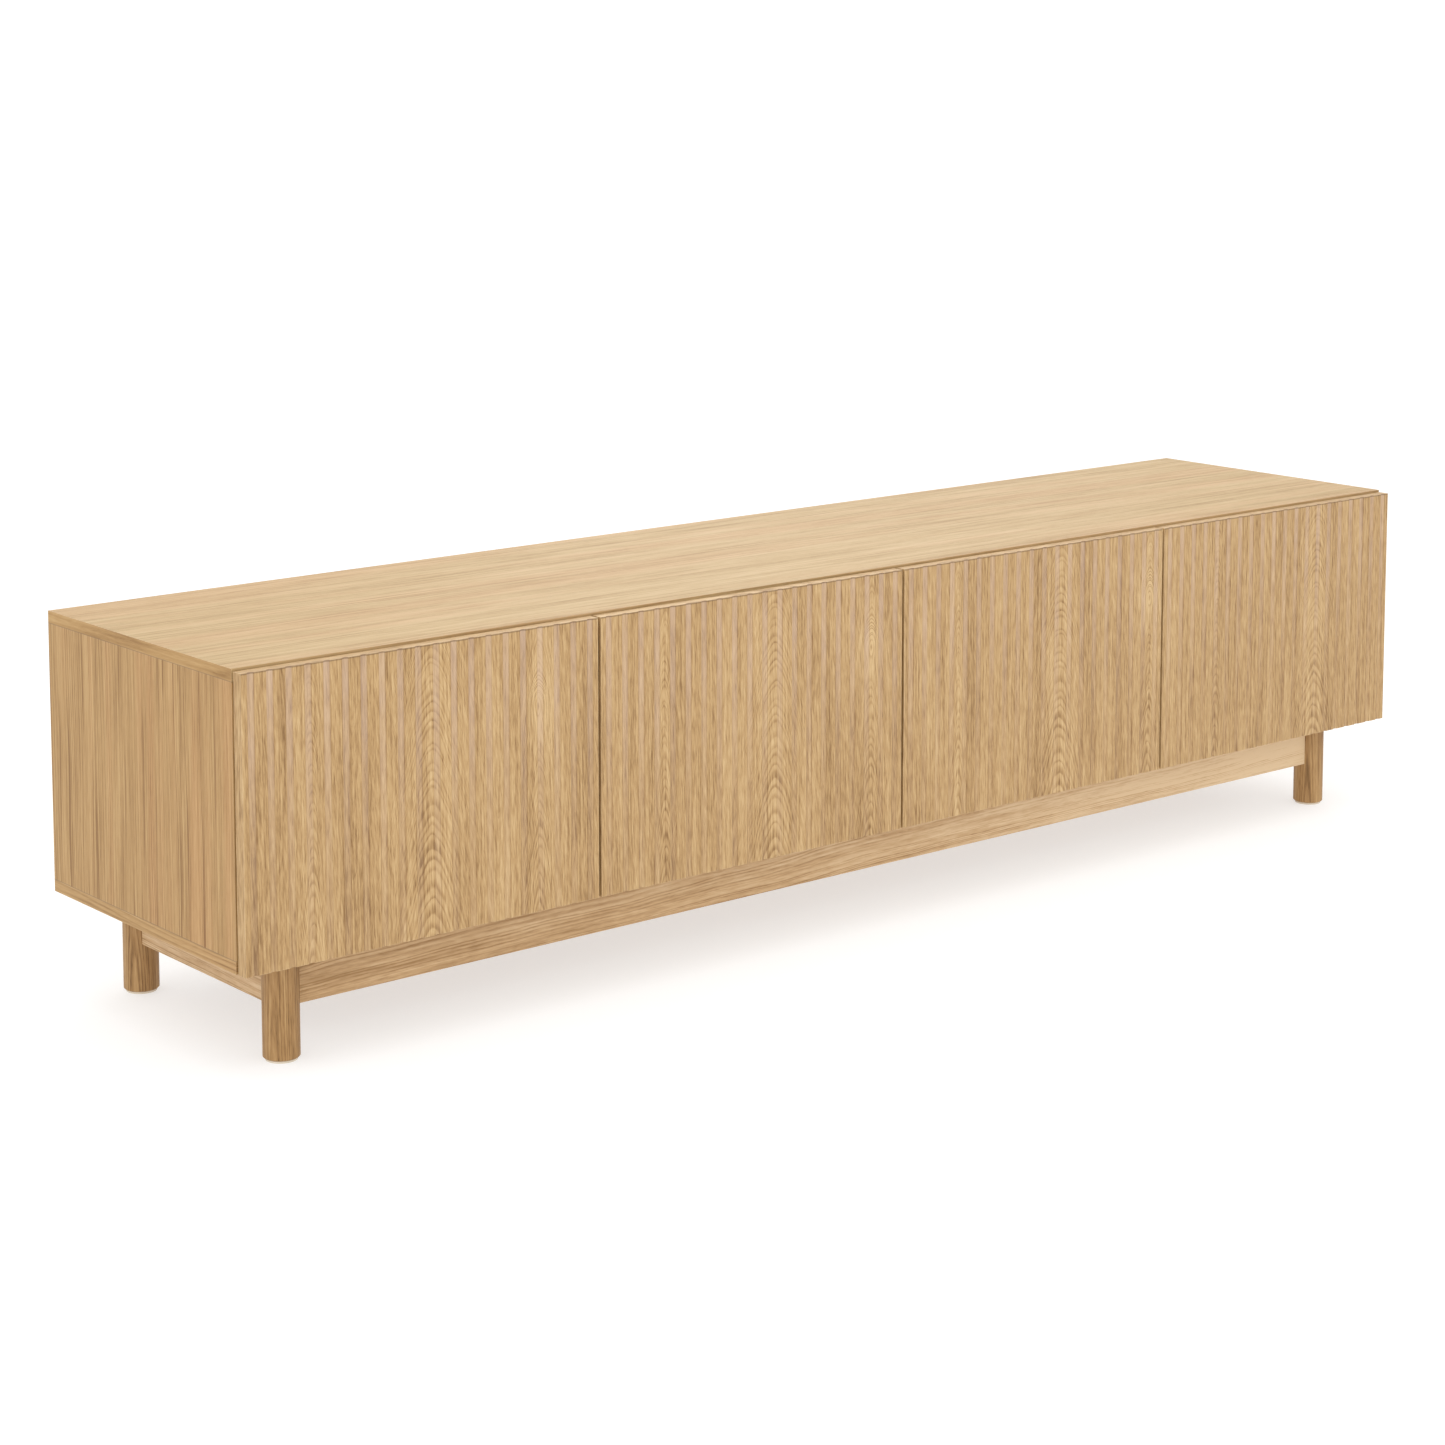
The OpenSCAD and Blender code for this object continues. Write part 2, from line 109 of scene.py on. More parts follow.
# Where the tree's heart lies from the middle of a piece, along its two axes across the grain.
BOARD_HEART = (0.42, -0.5)
LEG_HEART = (-50 * MM, -40 * MM)
RAIL_HEART = (100 * MM, 62 * MM)
RAIL_TAPER = 0.012         # how fast a rail climbs through its rings
LONG_RAIL_WAVE = 7 * MM    # how far the grain of the two long rails sways,
LONG_RAIL_PALER = 0.42     # and how much lighter they are at their right end

# The figure of each door, as shares of its width: the wide arches, the slim arches and the oval knot.
# Above 1 it lies beyond the door's edge, and only its flank shows.
DOOR_FIGURES = {
    "door_1": (0.51, 0.18, 0.82),
    "door_2": (0.56, 0.20, 0.89),
    "door_3": (0.59, 0.20, 0.95),
    "door_4": (0.67, 0.23, 1.08),
}
CLIMB = 0.115              # how fast a door's veneer climbs through the rings at its foot,
CLIMB_GAIN = 0.1           # and how much faster for each metre up
# The flanks of a figure: the slope of its rings at the foot and at the top, how round its tips are,
# and how far out it shows.
WIDE_ARCH = (0.46, 0.62, 22 * MM, 42 * MM)
SLIM_ARCH = (0.95, 1.25, 9 * MM, 20 * MM)
KNOT_ARCH = (0.70, 1.00, 10 * MM, 30 * MM)
KNOT_DROP = 90 * MM        # from the top of the door to the middle of the knot
KNOT_WIDTH = 15 * MM
KNOT_HEIGHT = 24 * MM
KNOT_DIP = 9 * MM          # how far the rings part round it
KNOT_SHOW = 1.9            # how much better they show there
PLAIN_FIGURE = 0.12        # how well the rings show between the figures
NARROW_SHARE = 0.8         # how well they show in the slim arches and round the knot
FIGURE_BLEND = 10 * MM     # how softly one figure passes into the next
FIGURE_LIFT = 0.06         # how much lighter the wood is in a figure

FLUTES = 20
FLUTE_WIDTH = 9 * MM
# The flutes' painted sheen leaves this much of the wood's own colour.
FLUTE_OWN = 0.42           # how much of the wood's own colour stays in a flute
# Painted shade in the creases along both edges of each flute: its width and how dark.
CREASE_WIDTH = 0.035       # in pitches of the flutes
CREASE_SHADE = 0.3

# Lines on the edges: painted shadow, painted highlights and darker seams.
ARRIS_WIDTH = 1.4 * MM
SEAM_WIDTH = 0.9 * MM
SEAM_SHARE = 0.5
# Painted shadow under a door's top edge:
LIP_START = 2.4 * MM       # the brown line on a door's front, as depths below its top edge
LIP_END = 1.2 * MM
LIP_SHADOW = 0.6
# how strong the painted highlights along the arrises are
DOOR_ARRIS_HIGHLIGHT = 0.18
BOARD_ARRIS_HIGHLIGHT = 0.12
# painted highlight on a door's top edge, which faces up
TOP_EDGE_HIGHLIGHT = 0.12

# A surface faces an axis from the first of these shares of its normal, and fully from the second.
FACING = (0.65, 0.75)

VENEER_ROUGHNESS = 0.5
SOLID_ROUGHNESS = 0.52
LACQUER_IOR = 1.46
LACQUER_SPECULAR = 0.42
TOP_SPECULAR = 0.3
LACQUER_BUMP = 0.55
DEEP_GRAIN = 0.12 * MM
SHALLOW_GRAIN = 0.07 * MM

# Edges are rounded where two faces meet at more than this, by these widths.
SHARP_ANGLE = 35.0
DOOR_ROUND = 0.5 * MM
THIN_ROUND = 0.4 * MM
THICK_ROUND = 0.6 * MM
THIN_BOARDS = ("top_", "bottom_", "side_", "shelf_1", "shelf_2", "shelf_3", "shelf_4", "partition_")
THICK_PIECES = ("centre_", "front_apron", "rear_rail", "cross_", "leg_front", "leg_rear")

# The levels at which a board meets the next one.
TOP_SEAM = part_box("top_panel")[0].z
FOOT_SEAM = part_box("bottom_panel")[1].z
SEAMS = {
    "top_panel": (TOP_SEAM,),
    "side_panel_left": (TOP_SEAM, FOOT_SEAM),
    "side_panel_right": (TOP_SEAM, FOOT_SEAM),
    "bottom_panel": (FOOT_SEAM,),
}

# ---------------------------------------------------------------- view and light

CAMERA_PLACE = (-2.7303, -3.1556, 1.2128)
CAMERA_DOWN = 6.58         # degrees below the horizon
CAMERA_TURN = -39.58       # degrees from +Y
CAMERA_LENS = 77.19
CAMERA_SENSOR = 36.0
CAMERA_SHIFT = -0.25

WHITE = (1.0, 1.0, 1.0, 1.0)
SKY_STRENGTH = 1.2
LIGHTS = {
    # name: (place, size across, size deep, watts)
    "softbox_over": ((-0.2, -0.5, 2.6), 3.2, 2.2, 14.0),
    "softbox_front": ((-2.6, -3.0, 1.9), 1.8, 1.8, 9.0),
    "softbox_back": ((2.4, 2.8, 2.0), 1.8, 1.8, 8.0),
}
LIGHT_TARGET = (0.0, 0.0, 0.25)
FLOOR_HALF = 30.0
FLOOR_GLOW = 0.6           # the white light that the floor gives off, which softens the shadow on it
FLOOR_ROUGHNESS = 0.9
FLOOR_SPECULAR = 0.1


def linear(colour):
    """An sRGB colour, 0-255, as the linear RGBA that a shader takes."""
    def channel(value):
        share = value / 255
        if share <= 0.04045:
            return share / 12.92
        return ((share + 0.055) / 1.055) ** 2.4
    return (*[channel(value) for value in colour], 1.0)


class Graph:
    """One material's nodes. Each call adds a node and gives back its output."""

    def __init__(self, name):
        self.material = bpy.data.materials.new(name)
        self.material.use_nodes = True
        self.tree = self.material.node_tree
        self.shader = self.tree.nodes["Principled BSDF"]
        self.place = self.node("ShaderNodeTexCoord")

    def node(self, kind, **settings):
        made = self.tree.nodes.new(kind)
        for key, value in settings.items():
            setattr(made, key, value)
        return made

    def feed(self, socket, value):
        if isinstance(value, bpy.types.NodeSocket):
            self.tree.links.new(value, socket)
        else:
            socket.default_value = value

    def math(self, operation, first, second=0.0, third=0.0, clamp=False):
        made = self.node("ShaderNodeMath", operation=operation, use_clamp=clamp)
        for socket, value in zip(made.inputs, (first, second, third)):
            self.feed(socket, value)
        return made.outputs[0]

    def add(self, *values):
        total = values[0]
        for value in values[1:]:
            total = self.math("ADD", total, value)
        return total

    def times(self, first, second):
        return self.math("MULTIPLY", first, second)

    def axes(self):
        """The piece's own x, y and z, in metres."""
        made = self.node("ShaderNodeSeparateXYZ")
        self.feed(made.inputs[0], self.place.outputs["Object"])
        return made.outputs[0], made.outputs[1], made.outputs[2]

    def normal_axes(self):
        """The way the surface faces, in the piece's own axes."""
        made = self.node("ShaderNodeSeparateXYZ")
        self.feed(made.inputs[0], self.place.outputs["Normal"])
        return made.outputs[0], made.outputs[1], made.outputs[2]

    def vector(self, x, y, z):
        made = self.node("ShaderNodeCombineXYZ")
        for socket, value in zip(made.inputs, (x, y, z)):
            self.feed(socket, value)
        return made.outputs[0]

    def noise(self, vector, detail=2.0, roughness=0.5, scale=1.0):
        made = self.node("ShaderNodeTexNoise")
        self.feed(made.inputs["Vector"], vector)
        made.inputs["Scale"].default_value = scale
        made.inputs["Detail"].default_value = detail
        made.inputs["Roughness"].default_value = roughness
        return made.outputs[0]

    def noise_line(self, along):
        """Noise of one number."""
        made = self.node("ShaderNodeTexNoise", noise_dimensions="1D")
        self.feed(made.inputs["W"], along)
        made.inputs["Scale"].default_value = 1.0
        made.inputs["Detail"].default_value = 1.0
        made.inputs["Roughness"].default_value = 0.5
        return made.outputs[0]

    def step(self, value, low, high, start=0.0, end=1.0):
        """A smooth step from start to end while value goes from low to high."""
        made = self.node("ShaderNodeMapRange", interpolation_type="SMOOTHSTEP")
        for socket, number in zip(made.inputs, (value, low, high, start, end)):
            self.feed(socket, number)
        return made.outputs[0]

    def span(self, value, low, high, start, end):
        """A straight map of value from low..high to start..end, held at the ends."""
        made = self.node("ShaderNodeMapRange")
        for socket, number in zip(made.inputs, (value, low, high, start, end)):
            self.feed(socket, number)
        return made.outputs[0]

    # The Mix node's sockets go by number below, because its vector and colour ones share their names.

    def choose(self, share, first, second):
        """first where share is 0, second where it is 1, for vectors."""
        made = self.node("ShaderNodeMix", data_type="VECTOR")
        self.feed(made.inputs[0], share)
        self.feed(made.inputs[4], first)
        self.feed(made.inputs[5], second)
        return made.outputs[1]

    def tint(self, share, first, second, blend="MIX"):
        """A mix of two colours."""
        made = self.node("ShaderNodeMix", data_type="RGBA", blend_type=blend)
        self.feed(made.inputs[0], share)
        self.feed(made.inputs[6], first)
        self.feed(made.inputs[7], second)
        return made.outputs[2]

    def ramp(self, value, *stops):
        """Colours along value: each stop is (place, sRGB colour)."""
        made = self.node("ShaderNodeValToRGB")
        self.feed(made.inputs[0], value)
        elements = made.color_ramp.elements
        while len(elements) < len(stops):
            elements.new(0.5)
        for element, (place, colour) in zip(elements, stops):
            element.position = place
            element.color = linear(colour)
        return made.outputs[0]

    def bump(self, height, distance, strength):
        made = self.node("ShaderNodeBump")
        made.inputs["Strength"].default_value = strength
        made.inputs["Distance"].default_value = distance
        self.feed(made.inputs["Height"], height)
        self.feed(self.shader.inputs["Normal"], made.outputs[0])

    def tones(self, tone, colours, places):
        """Dark, middle and light colours at three places along the tone."""
        return self.ramp(tone, *zip(places, colours))

    def facing(self, value):
        """1 where a surface faces along an axis, either way, by value, the normal's share of it."""
        return self.step(self.math("ABSOLUTE", value), *FACING)

    def finish(self, colour, roughness):
        self.feed(self.shader.inputs["Base Color"], colour)
        self.feed(self.shader.inputs["Roughness"], roughness)
        return self.material


# ---------------------------------------------------------------- wood


def grain_axes(graph, along, face):
    """The piece's axes as (along the grain, across the face, into the board).
    On an end face, the banding's own grain runs along the edge instead."""
    names = "XYZ"
    across = next(axis for axis in names if axis not in (along, face))
    axes = dict(zip(names, graph.axes()))
    facing = dict(zip(names, graph.normal_axes()))
    plain = graph.vector(axes[along], axes[across], axes[face])
    banding = graph.vector(axes[across], axes[face], axes[along])
    on_end = graph.facing(facing[along])
    split = graph.node("ShaderNodeSeparateXYZ")
    graph.feed(split.inputs[0], graph.choose(on_end, plain, banding))
    return split.outputs[0], split.outputs[1], split.outputs[2]


def solid_axes(graph, along):
    """The same for solid wood, whose ends show the rings."""
    names = "XYZ"
    others = [axis for axis in names if axis != along]
    axes = dict(zip(names, graph.axes()))
    return axes[along], axes[others[0]], axes[others[1]]


def heart_distance(graph, across, depth, heart, wobble):
    """How far a point is from the heart of the tree, at (across, depth) = heart."""
    sideways = graph.add(across, -heart[0], wobble)
    inwards = graph.add(depth, -heart[1])
    return graph.math("SQRT", graph.add(graph.times(sideways, sideways), graph.times(inwards, inwards)))


def arches(graph, sideways, shape, climbed):
    """One flat-cut figure: how far its rings lie from its middle line, and how well they show."""
    foot_slope, top_slope, tip, reach = shape
    square = graph.times(sideways, sideways)
    away = graph.add(graph.math("SQRT", graph.add(square, tip * tip)), -tip)
    slope = graph.span(climbed, 0.0, 1.0, foot_slope, top_slope)
    shown = graph.math("EXPONENT", graph.times(square, -1 / reach / reach))
    return graph.times(away, slope), shown


def waver(graph, along, across, depth, slow, wide, size, seed):
    """A slow drift of the grain: slow and wide are its cycles per metre along and across."""
    drift = graph.noise(
        graph.vector(
            graph.add(graph.times(along, slow), seed),
            graph.times(across, wide),
            graph.times(depth, wide),
        ),
        detail=2.0,
    )
    return graph.times(graph.add(drift, -0.5), 2 * size)


def ring_tone(graph, years):
    """0 in the dark early wood of a year, rising to 1: rings of uneven width and weight."""
    uneven = graph.add(years, graph.times(graph.noise_line(graph.times(years, 0.45)), 2.0))
    year = graph.math("FRACT", uneven)
    rise = graph.step(year, 0.0, 0.5)
    fall = graph.step(year, 0.8, 1.0, 1.0, 0.0)
    band = graph.times(rise, fall)
    weight = graph.span(graph.noise_line(graph.times(years, 0.23)), 0.3, 0.7, 0.35, 1.0)
    return graph.add(1.0, graph.times(graph.add(band, -1.0), weight))


def fibre(graph, along, across, depth, slow, fine, detail=3.0):
    """Streaks of fibre: slow and fine are their cycles per metre along and across."""
    staggered = graph.add(along, graph.times(across, FIBRE_STAGGER))
    return graph.noise(
        graph.vector(
            graph.times(staggered, slow),
            graph.times(across, fine),
            graph.times(depth, fine),
        ),
        detail=detail,
        roughness=FIBRE_ROUGHNESS,
    )


def oak(graph, along, across, depth, years, figure, fleck, fine):
    """The tone of oak, 0 dark to 1 light, and its open pores, 0 to 1. figure is the weight of its
    rings, fleck that of its short fibres, and fine the streaks in a metre."""
    rings = ring_tone(graph, years)
    streaks = fibre(graph, along, across, depth, STREAKS_ALONG, fine)
    flecks = fibre(graph, along, across, depth, *FLECKS, detail=2.0)
    bands = fibre(graph, along, across, depth, *BANDS, detail=2.0)
    dashes = fibre(graph, along, across, depth, *PORES, detail=1.0)
    pores = graph.times(graph.step(dashes, 0.56, 0.68), graph.span(rings, 0.2, 1.0, 1.0, 0.25))
    tone = graph.add(
        0.5,
        graph.times(graph.add(rings, -RING_MEAN), figure),
        graph.times(graph.add(streaks, -0.5), STREAK_WEIGHT),
        graph.times(graph.add(flecks, -0.5), fleck),
        graph.times(graph.add(bands, -0.5), BAND_WEIGHT),
        graph.times(pores, PORE_WEIGHT),
    )
    return tone, pores


def arris(graph, node):
    """1 along the straight edges of a board, 0 away from them."""
    low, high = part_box(node)
    near = []
    for value, start, end in zip(graph.axes(), low, high):
        middle = (start + end) / 2
        half = (end - start) / 2
        inside = graph.add(half, graph.times(graph.math("ABSOLUTE", graph.add(value, -middle)), -1.0))
        near.append(graph.step(inside, 0.0, ARRIS_WIDTH, 1.0, 0.0))
    return graph.math("ADD", graph.add(*near), -1.0, clamp=True)


def seam(graph, level):
    """1 on the line where two boards meet at a level, which is drawn darker."""
    _, _, z = graph.axes()
    away = graph.math("ABSOLUTE", graph.add(z, -level))
    return graph.step(away, 0.2 * SEAM_WIDTH, SEAM_WIDTH, 1.0, 0.0)


def highlight_arrises(graph, node, colour, share):
    """Lightens the edges a little: a painted highlight along the arrises."""
    return graph.tint(graph.times(arris(graph, node), share), colour, linear(HIGHLIGHT_PALE))


def lacquer(graph, tone, pores, roughness, relief, specular=LACQUER_SPECULAR):
    """A thin matt lacquer over wood: rougher and lower in the pores."""
    graph.shader.inputs["IOR"].default_value = LACQUER_IOR
    graph.shader.inputs["Specular IOR Level"].default_value = specular
    surface = graph.add(graph.times(tone, 0.6), graph.times(pores, -0.8))
    graph.bump(surface, relief, LACQUER_BUMP)
    return graph.span(tone, 0.1, 0.9, roughness + 0.08, roughness - 0.05)


def flute_sheen_bands(graph, node):
    """1 in the flutes of a door, where a painted sheen pales them, fading down the door. With it, how
    far a point is from the middle of its flute, and half the flute's width, both in pitches."""
    low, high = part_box(node)
    x, _, z = graph.axes()
    pitch = (high.x - low.x) / FLUTES
    phase = graph.math("FRACT", graph.times(graph.add(x, -low.x), 1 / pitch))
    away = graph.math("ABSOLUTE", graph.add(phase, -0.5))
    half = FLUTE_WIDTH / 2 / pitch
    inside = graph.step(away, half * 0.75, half * 1.12, 1.0, 0.0)
    fade = graph.step(z, low.z + 60 * MM, high.z - 10 * MM, 0.18, 0.85)
    # patches where the painted sheen is stronger and weaker
    patch = graph.noise(graph.vector(graph.times(x, 60.0), 0.0, graph.times(z, 22.0)), detail=3.0)
    sheen_strength = graph.span(patch, 0.3, 0.7, 0.55, 1.15)
    return graph.times(graph.times(inside, fade), sheen_strength), away, half


def knot_spread(graph, above, beside):
    """0 in the middle of the knot, 1 on its oval outline and more outside it."""
    above = graph.times(above, 1 / KNOT_HEIGHT)
    beside = graph.times(beside, 1 / KNOT_WIDTH)
    return graph.add(graph.times(above, above), graph.times(beside, beside))


def door_years(graph, node, along, across):
    """The rings that a door's veneer shows, and how well: wide arches, slim arches and an oval knot."""
    low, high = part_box(node)
    wide, slim, knot = [low.x + share * (high.x - low.x) for share in DOOR_FIGURES[node]]
    seed = low.x * 10
    sway = waver(graph, along, across, 0.0, 5.0, 14.0, 4.0 * MM, seed)
    shiver = waver(graph, along, across, 0.0, 24.0, 90.0, 0.5 * MM, seed)
    height = graph.add(along, -low.z)
    climbed = graph.times(height, 1 / (high.z - low.z))
    aside = graph.add(across, -knot, sway)
    wide_rings, wide_shown = arches(graph, graph.add(across, -wide, sway), WIDE_ARCH, climbed)
    slim_rings, slim_shown = arches(graph, graph.add(across, -slim, sway), SLIM_ARCH, climbed)
    knot_rings, knot_shown = arches(graph, aside, KNOT_ARCH, climbed)
    nearest = graph.math("SMOOTH_MIN", wide_rings, slim_rings, FIGURE_BLEND)
    nearest = graph.math("SMOOTH_MIN", nearest, knot_rings, FIGURE_BLEND)
    climb = graph.times(height, graph.add(CLIMB, graph.times(height, CLIMB_GAIN)))
    spread = knot_spread(graph, graph.add(along, KNOT_DROP - high.z), aside)
    dip = graph.times(graph.math("EXPONENT", graph.times(spread, -1.0)), -KNOT_DIP)
    slim_shown = graph.times(slim_shown, NARROW_SHARE)
    knot_shown = graph.times(knot_shown, NARROW_SHARE)
    shown = graph.add(wide_shown, slim_shown, knot_shown)
    shown = graph.span(shown, 0.0, 1.0, PLAIN_FIGURE, 1.0)
    eye = graph.times(graph.math("EXPONENT", graph.times(spread, -0.4)), KNOT_SHOW)
    return graph.times(graph.add(nearest, climb, dip, shiver), 1 / DOOR_RING), graph.add(shown, eye)


def paint_flutes(graph, node, colour, front):
    """Pales the flutes of a door with a painted sheen, and paints shade into the creases along them."""
    bands, away, half = flute_sheen_bands(graph, node)
    paler = graph.tint(FLUTE_OWN, linear(FLUTE_SHEEN), colour)
    # painted sheen: the flutes paled on the door's front
    colour = graph.tint(graph.times(bands, front), colour, paler)
    at_edge = graph.math("ABSOLUTE", graph.add(away, -half))
    # painted shade in the creases at both edges of each flute
    crease_shade = graph.times(graph.step(at_edge, 0.0, CREASE_WIDTH, 1.0, 0.0), front)
    return graph.tint(graph.times(crease_shade, CREASE_SHADE), colour, linear(DOOR_DARK))


def paint_door_edges(graph, node, colour, front, upward):
    """A painted shadow under a door's top edge, painted highlights on its arrises and on its top edge,
    which faces up.
    """
    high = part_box(node)[1]
    _, _, z = graph.axes()
    # painted shadow under the door's top edge
    lip_shade = graph.times(graph.step(z, high.z - LIP_START, high.z - LIP_END), front)
    colour = graph.tint(graph.times(lip_shade, LIP_SHADOW), colour, linear(SEAM_AND_SHADOW_BROWN))
    # painted highlights along the door's arrises
    colour = highlight_arrises(graph, node, colour, DOOR_ARRIS_HIGHLIGHT)
    # painted highlight on the top edge, where the surface faces up
    lit_top_edge = graph.step(upward, 0.5, 0.8)
    return graph.tint(graph.times(lit_top_edge, TOP_EDGE_HIGHLIGHT), colour, linear(HIGHLIGHT_PALE))


def door_oak(node):
    """Fluted oak veneer with its arches pointing up, with a painted sheen in the flutes and a painted
    highlight on the top edge.
    """
    graph = Graph(node + "_veneer")
    along, across, depth = grain_axes(graph, "Z", "Y")
    facing = graph.normal_axes()
    front = graph.step(facing[1], -0.45, -0.25, 1.0, 0.0)
    on_side = graph.facing(facing[0])
    years, shown = door_years(graph, node, along, across)
    edge_years = graph.times(graph.add(depth, graph.times(along, 0.004)), 1 / RING)
    on_face = graph.add(1.0, graph.times(on_side, -1.0))
    years = graph.add(graph.times(years, on_face), graph.times(edge_years, on_side))
    rings, fleck, fine = DOOR_WOOD
    tone, pores = oak(graph, along, across, depth, years, graph.times(shown, rings), fleck, fine)
    tone = graph.add(tone, graph.times(shown, FIGURE_LIFT))
    colour = graph.tones(tone, (DOOR_DARK, DOOR_MID, DOOR_LIGHT), STRONG_STOPS)
    colour = paint_flutes(graph, node, colour, front)
    colour = paint_door_edges(graph, node, colour, front, facing[2])
    roughness = lacquer(graph, tone, pores, VENEER_ROUGHNESS, DEEP_GRAIN)
    return graph.finish(colour, roughness)


def paint_board_edges(graph, node, colour):
    """Painted highlights on the arrises, and darker lines where the board meets the next ones."""
    colour = highlight_arrises(graph, node, colour, BOARD_ARRIS_HIGHLIGHT)
    for level in SEAMS.get(node, ()):
        colour = graph.tint(graph.times(seam(graph, level), SEAM_SHARE), colour, linear(SEAM_AND_SHADOW_BROWN))
    return colour


def board_oak(node, along, face, colours, edges, wood=BOARD_WOOD, strand=BOARD_STRAND, drift=1.0,
              specular=LACQUER_SPECULAR):
    """A veneered board with straight grain along one axis.
    edges are the colours of its banded ends, strand the weight of its dark strands, and drift
    how fast its grain drifts, as a share of a plain board's."""
    graph = Graph(node + "_veneer")
    low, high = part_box(node)
    middle = dict(zip("XYZ", (low + high) / 2))
    side = next(axis for axis in "XYZ" if axis not in (along, face))
    place = (middle[side] + BOARD_HEART[0], middle[face] + BOARD_HEART[1])
    seed = 3.7 * (low.x + 2 * low.y + 5 * low.z)
    run, across, depth = grain_axes(graph, along, face)
    sway = waver(graph, run, across, depth, 1.4 * drift, 5.0, 22 * MM, seed)
    shiver = waver(graph, run, across, depth, 9.0 * drift, 60.0, 0.7 * MM, seed)
    distance = heart_distance(graph, across, depth, place, sway)
    years = graph.times(graph.add(distance, graph.times(run, 0.01), shiver), 1 / RING)
    tone, pores = oak(graph, run, across, depth, years, *wood)
    swayed = graph.add(across, graph.times(sway, 0.5))
    strands = fibre(graph, run, swayed, depth, *STRANDS, detail=2.0)
    tone = graph.add(tone, graph.times(graph.step(strands, 0.54, 0.70), -strand))
    colour = graph.tones(tone, colours, CALM_STOPS)
    zones = fibre(graph, run, across, depth, *WARM_ZONES, detail=2.0)
    warmer = graph.tint(1.0, colour, linear(BOARD_WARM), "MULTIPLY")
    colour = graph.tint(graph.step(zones, 0.42, 0.62), colour, warmer)
    if edges != colours:
        facing = dict(zip("XYZ", graph.normal_axes()))
        colour = graph.tint(graph.facing(facing[along]), colour, graph.tones(tone, edges, CALM_STOPS))
    colour = paint_board_edges(graph, node, colour)
    roughness = lacquer(graph, tone, pores, VENEER_ROUGHNESS, SHALLOW_GRAIN, specular)
    return graph.finish(colour, roughness)


def solid_oak(node, along, heart, colours, taper=0.02, wave=4 * MM, paler=0.0):
    """Solid oak, whose rings turn round a heart that lies outside the piece.
    paler is how much lighter the tone is at the far end of the piece; at the near end it is
    half as much darker."""
    graph = Graph(node + "_oak")
    low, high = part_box(node)
    middle = dict(zip("XYZ", (low + high) / 2))
    others = [axis for axis in "XYZ" if axis != along]
    place = [middle[axis] + offset for axis, offset in zip(others, heart)]
    seed = 3.7 * (low.x + 2 * low.y + 5 * low.z)
    run, across, depth = solid_axes(graph, along)
    sway = waver(graph, run, across, depth, 3.0, 9.0, wave, seed)
    shiver = waver(graph, run, across, depth, 20.0, 90.0, 0.5 * MM, seed)
    distance = heart_distance(graph, across, depth, place, sway)
    years = graph.times(graph.add(distance, graph.times(run, taper), shiver), 1 / RING)
    tone, pores = oak(graph, run, across, depth, years, *SOLID_WOOD)
    start = getattr(low, along.lower())
    end = getattr(high, along.lower())
    tone = graph.add(tone, graph.span(run, start, end, -paler / 2, paler))
    colour = graph.tones(tone, colours, STRONG_STOPS)
    roughness = lacquer(graph, tone, pores, SOLID_ROUGHNESS, DEEP_GRAIN)
    return graph.finish(colour, roughness)


def beech(name):
    """Plain turned beech for the dowels, with its short flecks."""
    graph = Graph(name)
    flecks = graph.noise(graph.place.outputs["Object"], detail=3.0, scale=260.0)
    colour = graph.ramp(flecks, (0.35, BEECH_DARK), (0.65, BEECH_LIGHT))
    graph.bump(flecks, 0.05 * MM, 0.4)
    return graph.finish(colour, graph.span(flecks, 0.3, 0.7, 0.68, 0.58))


def printed_back(name):
    """The thin back boards: fibreboard under a printed paper foil."""
    graph = Graph(name)
    run, across, depth = grain_axes(graph, "X", "Y")
    lines = fibre(graph, run, across, depth, 4.0, 210.0)
    bands = fibre(graph, run, across, depth, 1.1, 26.0, detail=2.0)
    paper = graph.noise(graph.place.outputs["Object"], detail=2.0, scale=1400.0)
    tone = graph.add(graph.times(lines, 0.6), graph.times(bands, 0.4))
    colour = graph.ramp(tone, (0.3, BACK_DARK), (0.7, BACK_LIGHT))
    graph.bump(paper, 0.03 * MM, 0.5)
    return graph.finish(colour, graph.span(paper, 0.3, 0.7, 0.62, 0.5))


# ---------------------------------------------------------------- hardware


def metal(name, bright, dull, roughness, brushed):
    """Plated steel: cloudy plating, and fine brushing or rolling lines."""
    graph = Graph(name)
    graph.shader.inputs["Metallic"].default_value = 1.0
    x, y, z = graph.axes()
    cloud = graph.noise(graph.place.outputs["Object"], detail=3.0, scale=90.0)
    lines = graph.noise(
        graph.vector(graph.times(x, 2600.0), graph.times(y, 260.0), graph.times(z, 2600.0)),
        detail=2.0,
    )
    mottle = graph.add(graph.times(cloud, 1 - brushed), graph.times(lines, brushed))
    colour = graph.ramp(mottle, (0.35, dull), (0.62, bright))
    graph.bump(mottle, 0.02 * MM, 0.4)
    return graph.finish(colour, graph.span(mottle, 0.35, 0.65, roughness + 0.1, roughness - 0.06))


def plastic(name, light, shade, roughness, clear=0.0):
    """Moulded plastic or rubber with a fine sparked texture."""
    graph = Graph(name)
    graph.shader.inputs["Transmission Weight"].default_value = clear
    graph.shader.inputs["IOR"].default_value = 1.5
    spark = graph.noise(graph.place.outputs["Object"], detail=2.0, scale=2200.0)
    flow = graph.noise(graph.place.outputs["Object"], detail=2.0, scale=45.0)
    colour = graph.ramp(flow, (0.35, shade), (0.65, light))
    graph.bump(spark, 0.03 * MM, 0.4)
    return graph.finish(colour, graph.span(spark, 0.3, 0.7, roughness + 0.06, roughness - 0.05))


# ---------------------------------------------------------------- what each CAD node wears


def dress(name, material):
    slots = NODES[name].data.materials
    slots.clear()
    slots.append(material)


